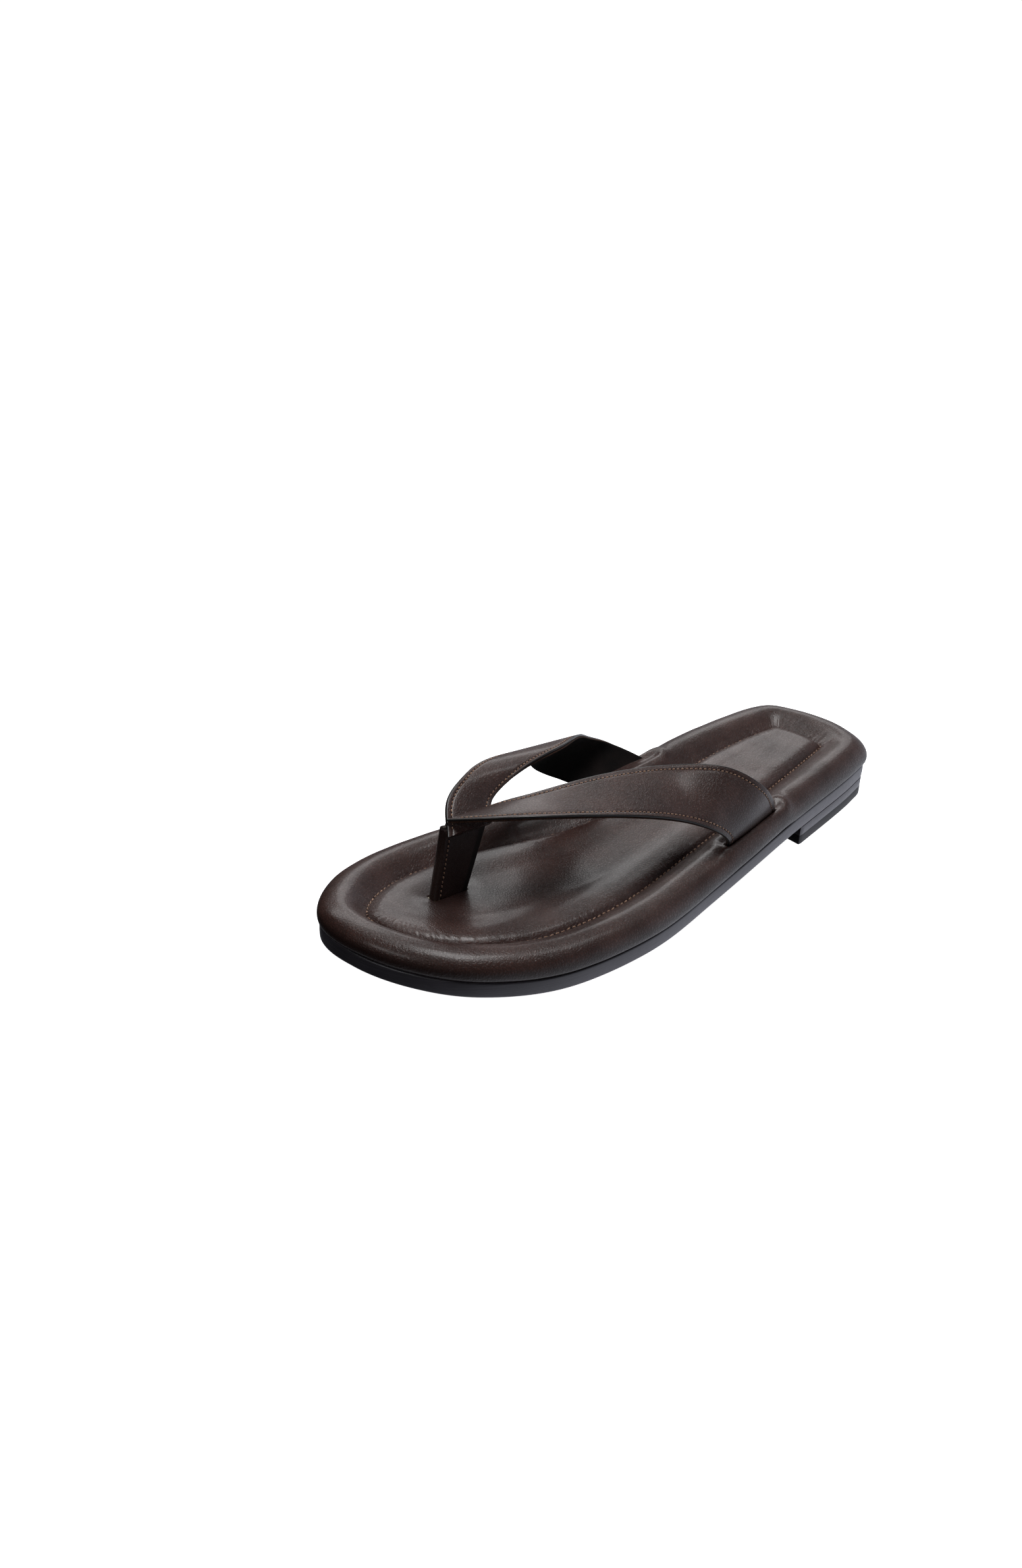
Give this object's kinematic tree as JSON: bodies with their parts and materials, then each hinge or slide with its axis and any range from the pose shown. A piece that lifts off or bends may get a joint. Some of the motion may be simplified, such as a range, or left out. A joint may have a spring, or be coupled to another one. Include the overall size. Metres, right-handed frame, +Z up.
{
  "type": "flip flop",
  "caption": "Left-foot leather flip flop with a padded, recessed footbed, crossing straps, a folded toe post and a low stacked heel.",
  "frame": {"origin": "on the ground at the centre of the sandal's outline, halfway between toe and heel and between the widest points", "axes": "+Z up from the ground; -Y towards the toe; +X towards the outer side of the foot"},
  "size_m": [0.1078, 0.2886, 0.0564],
  "materials": {
    "grain_leather": "soft satin dark brown grain leather with fine pebbling",
    "strap_lining": "matt near-black suede lining",
    "sole_leather": "dark burnished edge with a waxed sheen",
    "heel_rubber": "matt black rubber",
    "cork_filler": "pressed cork",
    "fibre_board": "matt leather-fibre board",
    "foam": "soft open-cell foam",
    "webbing": "woven webbing",
    "thread": "waxed brown thread"
  },
  "bodies": {
    "root": {"top_lift": "heel_rubber", "heel_lift": "sole_leather", "outsole": "sole_leather", "bottom_filler": "cork_filler", "insole_board": "fibre_board", "footbed_pad": "foam", "rim_padding": "foam", "footbed_cover": "grain_leather", "medial_strap_upper": "grain_leather", "medial_strap_lining": "strap_lining", "lateral_strap_upper": "grain_leather", "lateral_strap_lining": "strap_lining", "toe_post_leather": "grain_leather", "toe_post_core": "webbing", "rim_thread": "thread", "medial_strap_front_thread": "thread", "medial_strap_rear_thread": "thread", "lateral_strap_front_thread": "thread", "lateral_strap_rear_thread": "thread", "toe_post_medial_thread": "thread", "toe_post_lateral_thread": "thread"}
  },
  "joints": []
}
